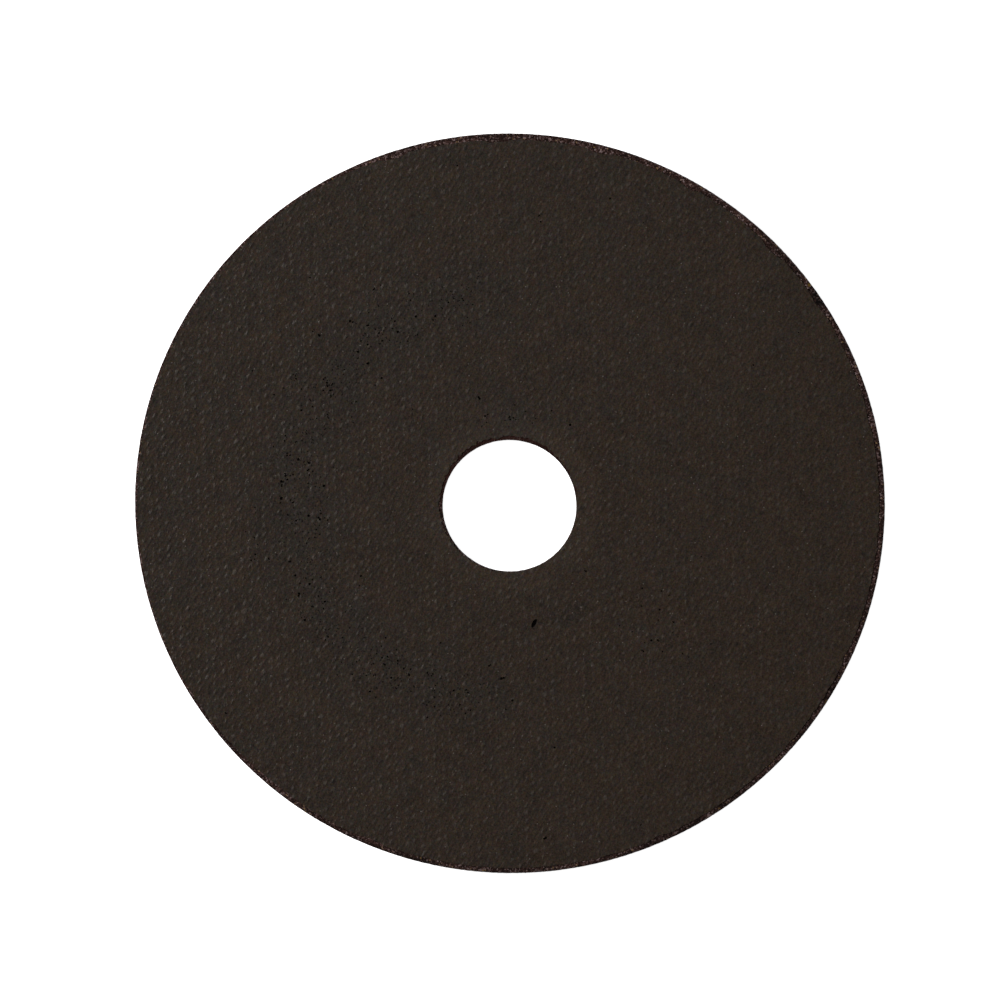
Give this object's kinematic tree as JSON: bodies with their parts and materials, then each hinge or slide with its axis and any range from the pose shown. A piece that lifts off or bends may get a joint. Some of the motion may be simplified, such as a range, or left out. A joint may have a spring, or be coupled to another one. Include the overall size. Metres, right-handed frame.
{
  "type": "cut-off wheel",
  "caption": "Thin flat bonded-abrasive cut-off wheel with a round arbor bore, woven imprint on both faces and a bare grain rim.",
  "frame": {"origin": "centre of the bore on the back facing, which is the face that the wheel lies on", "axes": "+Z along the bore axis, out of the front face; +X and +Y lie in the wheel's plane, with +Y towards the top of the picture"},
  "size_m": [0.125, 0.125, 0.001],
  "materials": {
    "bonded_abrasive": "dark brown-grey resin-bonded grain with a fine pressed weave, satin on the thread crests and rough at the rim"
  },
  "bodies": {
    "root": {"cut_off_wheel": "bonded_abrasive"}
  },
  "joints": []
}
